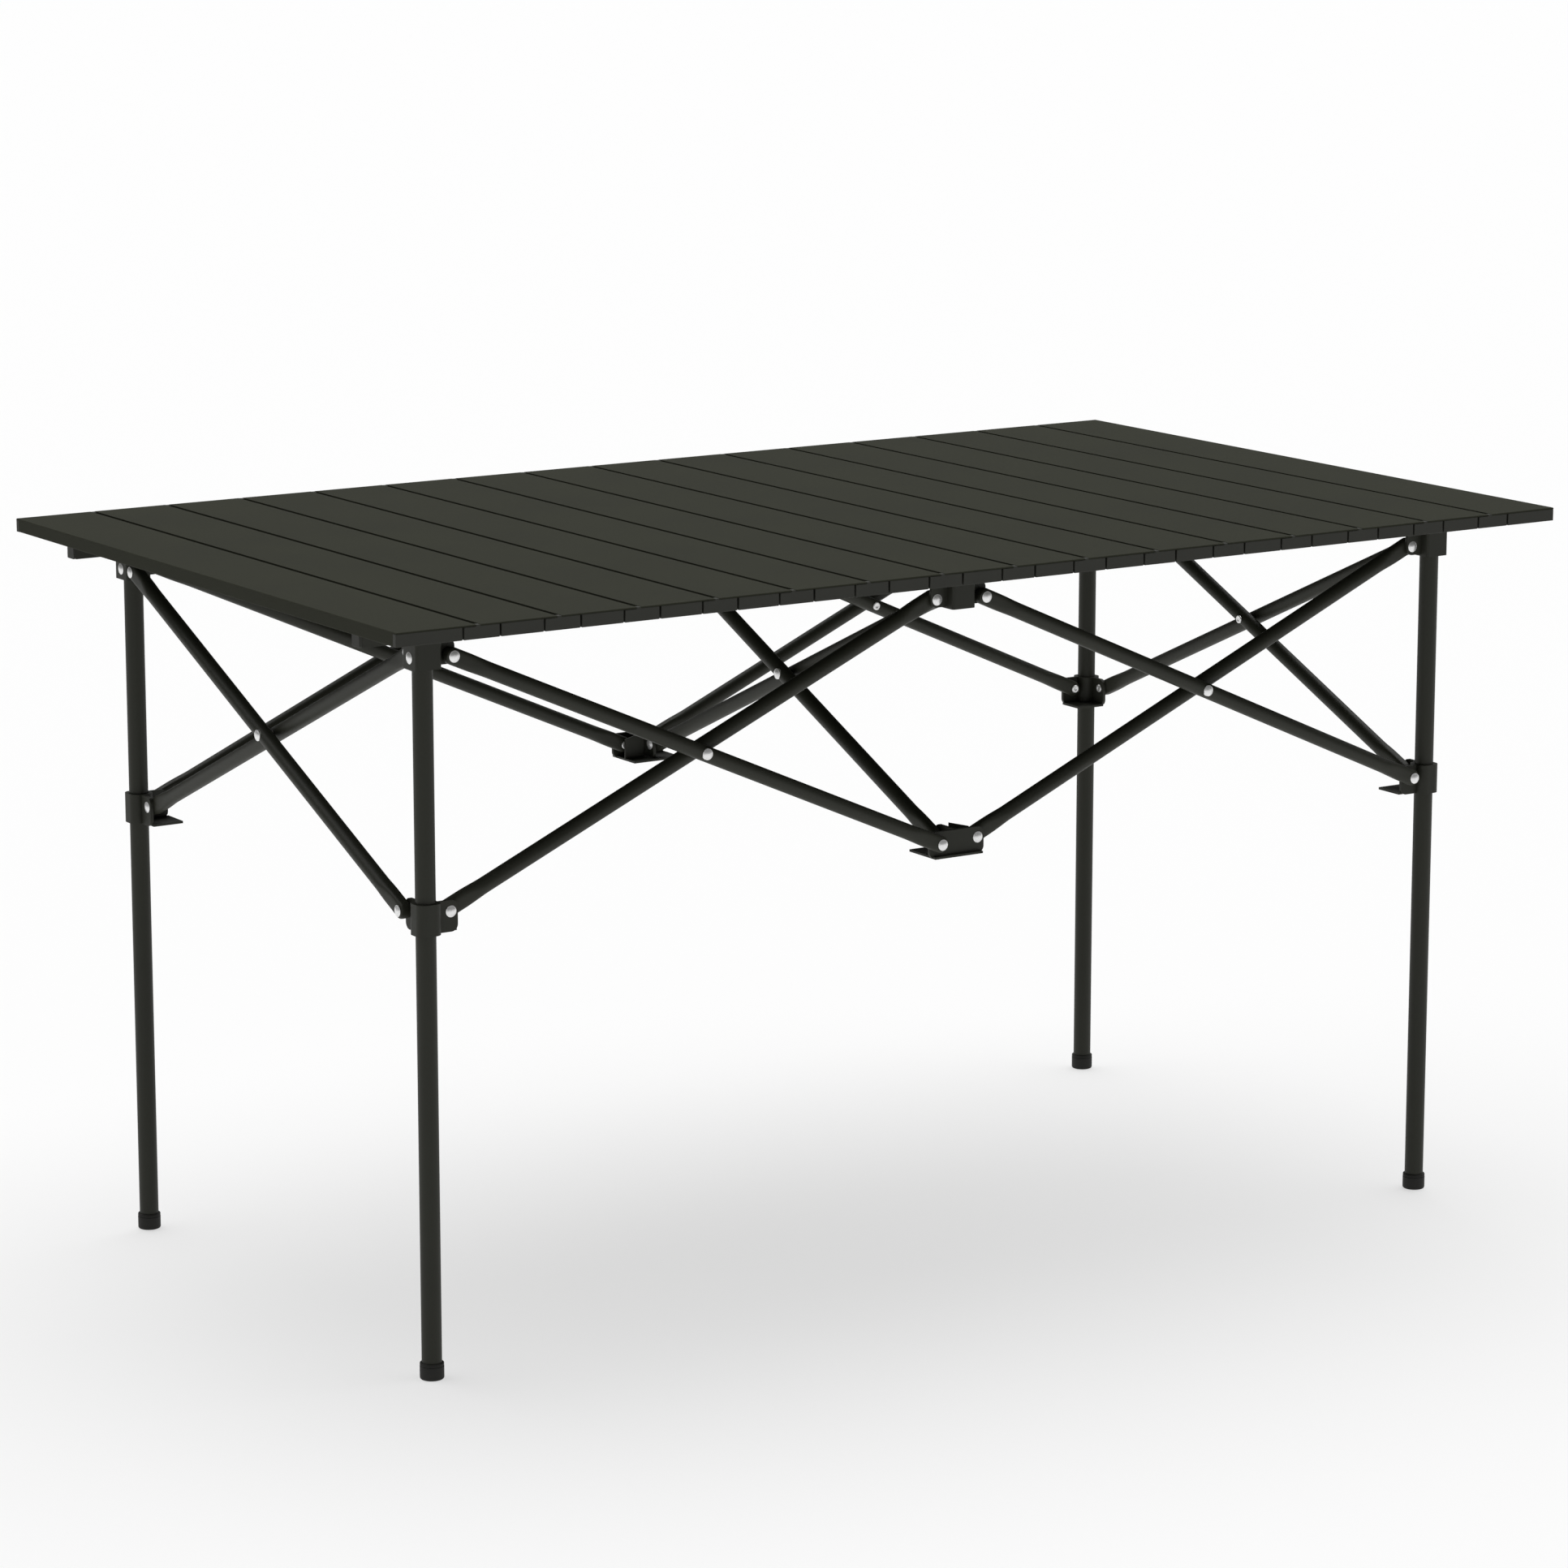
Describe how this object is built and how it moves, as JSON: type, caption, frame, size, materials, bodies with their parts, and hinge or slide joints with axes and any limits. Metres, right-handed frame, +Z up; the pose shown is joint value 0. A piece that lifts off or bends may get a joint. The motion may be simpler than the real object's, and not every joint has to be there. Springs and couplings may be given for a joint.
{
  "type": "folding picnic table",
  "caption": "Long camping table with a slatted roll-up top on a folding frame of crossed tubes, sliding sleeves and four tube legs.",
  "frame": {"origin": "On the floor, under the middle of the table", "axes": "+X along the length of the table, +Y from the front side to the back side, +Z up"},
  "size_m": [1.4, 0.82, 0.76],
  "materials": {
    "coated_slat": "fine matte powder coat on extruded aluminium, dark olive grey",
    "coated_tube": "satin powder coat on aluminium tube, dark olive grey",
    "coated_bracket": "satin powder coat on pressed and cast brackets; their rivets are bare bright metal",
    "cap_plastic": "matte moulded plastic, dark olive grey",
    "black_plastic": "matte moulded plastic, near black"
  },
  "bodies": {
    "centre_top_front": {"centre_top_front": "coated_bracket"},
    "bar_middle_inner": {"bar_middle_inner": "coated_tube"},
    "bar_middle_outer": {"bar_middle_outer": "coated_tube"},
    "centre_top_back": {"centre_top_back": "coated_bracket"},
    "centre_bottom_front": {"centre_bottom_front": "coated_bracket"},
    "centre_bottom_back": {"centre_bottom_back": "coated_bracket"},
    "bar_front_left_inner": {"bar_front_left_inner": "coated_tube"},
    "bar_front_left_outer": {"bar_front_left_outer": "coated_tube"},
    "corner_front_left": {"leg_front_left": "coated_tube", "foot_front_left": "black_plastic", "corner_bracket_front_left": "coated_bracket"},
    "bar_front_right_outer": {"bar_front_right_outer": "coated_tube"},
    "bar_front_right_inner": {"bar_front_right_inner": "coated_tube"},
    "corner_front_right": {"leg_front_right": "coated_tube", "foot_front_right": "black_plastic", "corner_bracket_front_right": "coated_bracket"},
    "bar_back_left_outer": {"bar_back_left_outer": "coated_tube"},
    "bar_back_left_inner": {"bar_back_left_inner": "coated_tube"},
    "corner_back_left": {"leg_back_left": "coated_tube", "foot_back_left": "black_plastic", "corner_bracket_back_left": "coated_bracket"},
    "bar_back_right_inner": {"bar_back_right_inner": "coated_tube"},
    "bar_back_right_outer": {"bar_back_right_outer": "coated_tube"},
    "corner_back_right": {"leg_back_right": "coated_tube", "foot_back_right": "black_plastic", "corner_bracket_back_right": "coated_bracket"},
    "bar_left_end_outer": {"bar_left_end_outer": "coated_tube"},
    "slider_front_left": {"slider_front_left": "coated_bracket"},
    "bar_left_end_inner": {"bar_left_end_inner": "coated_tube"},
    "slider_back_left": {"slider_back_left": "coated_bracket"},
    "bar_right_end_outer": {"bar_right_end_outer": "coated_tube"},
    "slider_back_right": {"slider_back_right": "coated_bracket"},
    "bar_right_end_inner": {"bar_right_end_inner": "coated_tube"},
    "slider_front_right": {"slider_front_right": "coated_bracket"},
    "top_base": {"slat_16": "coated_slat", "rail_front_right": "coated_tube", "rail_back_right": "coated_tube", "rail_plug_front_right": "cap_plastic", "rail_plug_back_right": "cap_plastic"},
    "slat_15": {"slat_15": "coated_slat"},
    "slat_14": {"slat_14": "coated_slat"},
    "slat_13": {"slat_13": "coated_slat"},
    "slat_12": {"slat_12": "coated_slat"},
    "slat_11": {"slat_11": "coated_slat"},
    "slat_10": {"slat_10": "coated_slat"},
    "slat_09": {"slat_09": "coated_slat"},
    "slat_08": {"slat_08": "coated_slat"},
    "slat_07": {"slat_07": "coated_slat"},
    "slat_06": {"slat_06": "coated_slat"},
    "slat_05": {"slat_05": "coated_slat"},
    "slat_04": {"slat_04": "coated_slat"},
    "slat_03": {"slat_03": "coated_slat"},
    "slat_02": {"slat_02": "coated_slat"},
    "slat_01": {"slat_01": "coated_slat"},
    "rail_left_front": {"rail_front_left": "coated_tube", "rail_plug_front_left": "cap_plastic"},
    "rail_left_back": {"rail_back_left": "coated_tube", "rail_plug_back_left": "cap_plastic"}
  },
  "joints": [
    {"name": "frame_fold", "type": "hinge", "parent": "centre_top_front", "child": "bar_middle_inner", "pos_m": [0, -0.282, 0.714], "axis": [-1, 0, 0], "range_deg": [0, 56.09]},
    {"name": "middle_crossing", "type": "hinge", "parent": "bar_middle_inner", "child": "bar_middle_outer", "pos_m": [0, 0, 0.589], "axis": [1, 0, 0], "range_deg": [0, 112.2]},
    {"name": "middle_pivot_top_back", "type": "hinge", "parent": "bar_middle_outer", "child": "centre_top_back", "pos_m": [0, 0.282, 0.714], "axis": [-1, 0, 0], "range_deg": [0, 56.11]},
    {"name": "middle_pivot_bottom_front", "type": "hinge", "parent": "bar_middle_outer", "child": "centre_bottom_front", "pos_m": [0, -0.282, 0.464], "axis": [-1, 0, 0], "range_deg": [0, 56.11]},
    {"name": "middle_pivot_bottom_back", "type": "hinge", "parent": "bar_middle_inner", "child": "centre_bottom_back", "pos_m": [0, 0.282, 0.464], "axis": [1, 0, 0], "range_deg": [0, 56.11]},
    {"name": "long_pivot_top_front_left", "type": "hinge", "parent": "centre_top_front", "child": "bar_front_left_inner", "pos_m": [-0.026, -0.3095, 0.714], "axis": [0, -1, 0], "range_deg": [0, 56.11]},
    {"name": "long_crossing_front_left", "type": "hinge", "parent": "bar_front_left_inner", "child": "bar_front_left_outer", "pos_m": [-0.308, -0.3095, 0.589], "axis": [0, 1, 0], "range_deg": [0, 112.2]},
    {"name": "long_pivot_corner_front_left", "type": "hinge", "parent": "bar_front_left_outer", "child": "corner_front_left", "pos_m": [-0.59, -0.3095, 0.714], "axis": [0, -1, 0], "range_deg": [0, 56.11]},
    {"name": "long_pivot_top_front_right", "type": "hinge", "parent": "centre_top_front", "child": "bar_front_right_outer", "pos_m": [0.026, -0.3095, 0.714], "axis": [0, 1, 0], "range_deg": [0, 56.11]},
    {"name": "long_crossing_front_right", "type": "hinge", "parent": "bar_front_right_outer", "child": "bar_front_right_inner", "pos_m": [0.308, -0.3095, 0.589], "axis": [0, -1, 0], "range_deg": [0, 112.2]},
    {"name": "long_pivot_corner_front_right", "type": "hinge", "parent": "bar_front_right_inner", "child": "corner_front_right", "pos_m": [0.59, -0.3095, 0.714], "axis": [0, 1, 0], "range_deg": [0, 56.11]},
    {"name": "long_pivot_top_back_left", "type": "hinge", "parent": "centre_top_back", "child": "bar_back_left_outer", "pos_m": [-0.026, 0.3095, 0.714], "axis": [0, -1, 0], "range_deg": [0, 56.11]},
    {"name": "long_crossing_back_left", "type": "hinge", "parent": "bar_back_left_outer", "child": "bar_back_left_inner", "pos_m": [-0.308, 0.3095, 0.589], "axis": [0, 1, 0], "range_deg": [0, 112.2]},
    {"name": "long_pivot_corner_back_left", "type": "hinge", "parent": "bar_back_left_inner", "child": "corner_back_left", "pos_m": [-0.59, 0.3095, 0.714], "axis": [0, -1, 0], "range_deg": [0, 56.11]},
    {"name": "long_pivot_top_back_right", "type": "hinge", "parent": "centre_top_back", "child": "bar_back_right_inner", "pos_m": [0.026, 0.3095, 0.714], "axis": [0, 1, 0], "range_deg": [0, 56.11]},
    {"name": "long_crossing_back_right", "type": "hinge", "parent": "bar_back_right_inner", "child": "bar_back_right_outer", "pos_m": [0.308, 0.3095, 0.589], "axis": [0, -1, 0], "range_deg": [0, 112.2]},
    {"name": "long_pivot_corner_back_right", "type": "hinge", "parent": "bar_back_right_outer", "child": "corner_back_right", "pos_m": [0.59, 0.3095, 0.714], "axis": [0, 1, 0], "range_deg": [0, 56.11]},
    {"name": "end_pivot_top_back_left", "type": "hinge", "parent": "corner_back_left", "child": "bar_left_end_outer", "pos_m": [-0.6175, 0.282, 0.714], "axis": [1, 0, 0], "range_deg": [0, 56.11]},
    {"name": "end_pivot_slider_front_left", "type": "hinge", "parent": "bar_left_end_outer", "child": "slider_front_left", "pos_m": [-0.6175, -0.282, 0.464], "axis": [-1, 0, 0], "range_deg": [0, 56.11]},
    {"name": "end_pivot_top_front_left", "type": "hinge", "parent": "corner_front_left", "child": "bar_left_end_inner", "pos_m": [-0.6175, -0.282, 0.714], "axis": [-1, 0, 0], "range_deg": [0, 56.11]},
    {"name": "end_pivot_slider_back_left", "type": "hinge", "parent": "bar_left_end_inner", "child": "slider_back_left", "pos_m": [-0.6175, 0.282, 0.464], "axis": [1, 0, 0], "range_deg": [0, 56.11]},
    {"name": "end_pivot_top_front_right", "type": "hinge", "parent": "corner_front_right", "child": "bar_right_end_outer", "pos_m": [0.6175, -0.282, 0.714], "axis": [-1, 0, 0], "range_deg": [0, 56.11]},
    {"name": "end_pivot_slider_back_right", "type": "hinge", "parent": "bar_right_end_outer", "child": "slider_back_right", "pos_m": [0.6175, 0.282, 0.464], "axis": [1, 0, 0], "range_deg": [0, 56.11]},
    {"name": "end_pivot_top_back_right", "type": "hinge", "parent": "corner_back_right", "child": "bar_right_end_inner", "pos_m": [0.6175, 0.282, 0.714], "axis": [1, 0, 0], "range_deg": [0, 56.11]},
    {"name": "end_pivot_slider_front_right", "type": "hinge", "parent": "bar_right_end_inner", "child": "slider_front_right", "pos_m": [0.6175, -0.282, 0.464], "axis": [-1, 0, 0], "range_deg": [0, 56.11]},
    {"name": "top_lift", "type": "slide", "parent": "centre_top_front", "child": "top_base", "axis": [0, 0, 1], "range_m": [0, 0.3]},
    {"name": "top_roll", "type": "hinge", "parent": "top_base", "child": "slat_15", "pos_m": [0.6125, 0, 0.76], "axis": [0, 1, 0], "range_deg": [0, 39]},
    {"name": "slat_hinge_14", "type": "hinge", "parent": "slat_15", "child": "slat_14", "pos_m": [0.525, 0, 0.76], "axis": [0, 1, 0], "range_deg": [0, 40.25]},
    {"name": "slat_hinge_13", "type": "hinge", "parent": "slat_14", "child": "slat_13", "pos_m": [0.4375, 0, 0.76], "axis": [0, 1, 0], "range_deg": [0, 41.55]},
    {"name": "slat_hinge_12", "type": "hinge", "parent": "slat_13", "child": "slat_12", "pos_m": [0.35, 0, 0.76], "axis": [0, 1, 0], "range_deg": [0, 43.05]},
    {"name": "slat_hinge_11", "type": "hinge", "parent": "slat_12", "child": "slat_11", "pos_m": [0.2625, 0, 0.76], "axis": [0, 1, 0], "range_deg": [0, 44.65]},
    {"name": "slat_hinge_10", "type": "hinge", "parent": "slat_11", "child": "slat_10", "pos_m": [0.175, 0, 0.76], "axis": [0, 1, 0], "range_deg": [0, 46.45]},
    {"name": "slat_hinge_09", "type": "hinge", "parent": "slat_10", "child": "slat_09", "pos_m": [0.0875, 0, 0.76], "axis": [0, 1, 0], "range_deg": [0, 48.55]},
    {"name": "slat_hinge_08", "type": "hinge", "parent": "slat_09", "child": "slat_08", "pos_m": [0, 0, 0.76], "axis": [0, 1, 0], "range_deg": [0, 50.95]},
    {"name": "slat_hinge_07", "type": "hinge", "parent": "slat_08", "child": "slat_07", "pos_m": [-0.0875, 0, 0.76], "axis": [0, 1, 0], "range_deg": [0, 53.65]},
    {"name": "slat_hinge_06", "type": "hinge", "parent": "slat_07", "child": "slat_06", "pos_m": [-0.175, 0, 0.76], "axis": [0, 1, 0], "range_deg": [0, 57.05]},
    {"name": "slat_hinge_05", "type": "hinge", "parent": "slat_06", "child": "slat_05", "pos_m": [-0.2625, 0, 0.76], "axis": [0, 1, 0], "range_deg": [0, 61.05]},
    {"name": "slat_hinge_04", "type": "hinge", "parent": "slat_05", "child": "slat_04", "pos_m": [-0.35, 0, 0.76], "axis": [0, 1, 0], "range_deg": [0, 66.25]},
    {"name": "slat_hinge_03", "type": "hinge", "parent": "slat_04", "child": "slat_03", "pos_m": [-0.4375, 0, 0.76], "axis": [0, 1, 0], "range_deg": [0, 73.05]},
    {"name": "slat_hinge_02", "type": "hinge", "parent": "slat_03", "child": "slat_02", "pos_m": [-0.525, 0, 0.76], "axis": [0, 1, 0], "range_deg": [0, 82.85]},
    {"name": "slat_hinge_01", "type": "hinge", "parent": "slat_02", "child": "slat_01", "pos_m": [-0.6125, 0, 0.76], "axis": [0, 1, 0], "range_deg": [0, 99.35]},
    {"name": "rail_fold_front", "type": "hinge", "parent": "top_base", "child": "rail_left_front", "pos_m": [0, -0.3205, 0.738], "axis": [0, 0, 1], "range_deg": [0, 180]},
    {"name": "rail_fold_back", "type": "hinge", "parent": "top_base", "child": "rail_left_back", "pos_m": [0, 0.3205, 0.738], "axis": [0, 0, -1], "range_deg": [0, 180]}
  ],
  "couplings": [
    {"joint": "middle_crossing", "follows": "frame_fold", "ratio": 2},
    {"joint": "middle_pivot_top_back", "follows": "frame_fold", "ratio": 1},
    {"joint": "middle_pivot_bottom_front", "follows": "frame_fold", "ratio": 1},
    {"joint": "middle_pivot_bottom_back", "follows": "frame_fold", "ratio": 1},
    {"joint": "long_pivot_top_front_left", "follows": "frame_fold", "ratio": 1},
    {"joint": "long_crossing_front_left", "follows": "frame_fold", "ratio": 2},
    {"joint": "long_pivot_corner_front_left", "follows": "frame_fold", "ratio": 1},
    {"joint": "long_pivot_top_front_right", "follows": "frame_fold", "ratio": 1},
    {"joint": "long_crossing_front_right", "follows": "frame_fold", "ratio": 2},
    {"joint": "long_pivot_corner_front_right", "follows": "frame_fold", "ratio": 1},
    {"joint": "long_pivot_top_back_left", "follows": "frame_fold", "ratio": 1},
    {"joint": "long_crossing_back_left", "follows": "frame_fold", "ratio": 2},
    {"joint": "long_pivot_corner_back_left", "follows": "frame_fold", "ratio": 1},
    {"joint": "long_pivot_top_back_right", "follows": "frame_fold", "ratio": 1},
    {"joint": "long_crossing_back_right", "follows": "frame_fold", "ratio": 2},
    {"joint": "long_pivot_corner_back_right", "follows": "frame_fold", "ratio": 1},
    {"joint": "end_pivot_top_back_left", "follows": "frame_fold", "ratio": 1},
    {"joint": "end_pivot_slider_front_left", "follows": "frame_fold", "ratio": 1},
    {"joint": "end_pivot_top_front_left", "follows": "frame_fold", "ratio": 1},
    {"joint": "end_pivot_slider_back_left", "follows": "frame_fold", "ratio": 1},
    {"joint": "end_pivot_top_front_right", "follows": "frame_fold", "ratio": 1},
    {"joint": "end_pivot_slider_back_right", "follows": "frame_fold", "ratio": 1},
    {"joint": "end_pivot_top_back_right", "follows": "frame_fold", "ratio": 1},
    {"joint": "end_pivot_slider_front_right", "follows": "frame_fold", "ratio": 1},
    {"joint": "slat_hinge_14", "follows": "top_roll", "ratio": 1.0308},
    {"joint": "slat_hinge_13", "follows": "top_roll", "ratio": 1.0641},
    {"joint": "slat_hinge_12", "follows": "top_roll", "ratio": 1.1026},
    {"joint": "slat_hinge_11", "follows": "top_roll", "ratio": 1.1436},
    {"joint": "slat_hinge_10", "follows": "top_roll", "ratio": 1.1897},
    {"joint": "slat_hinge_09", "follows": "top_roll", "ratio": 1.2436},
    {"joint": "slat_hinge_08", "follows": "top_roll", "ratio": 1.3051},
    {"joint": "slat_hinge_07", "follows": "top_roll", "ratio": 1.3744},
    {"joint": "slat_hinge_06", "follows": "top_roll", "ratio": 1.4615},
    {"joint": "slat_hinge_05", "follows": "top_roll", "ratio": 1.5641},
    {"joint": "slat_hinge_04", "follows": "top_roll", "ratio": 1.6974},
    {"joint": "slat_hinge_03", "follows": "top_roll", "ratio": 1.8718},
    {"joint": "slat_hinge_02", "follows": "top_roll", "ratio": 2.1231},
    {"joint": "slat_hinge_01", "follows": "top_roll", "ratio": 2.5461}
  ]
}
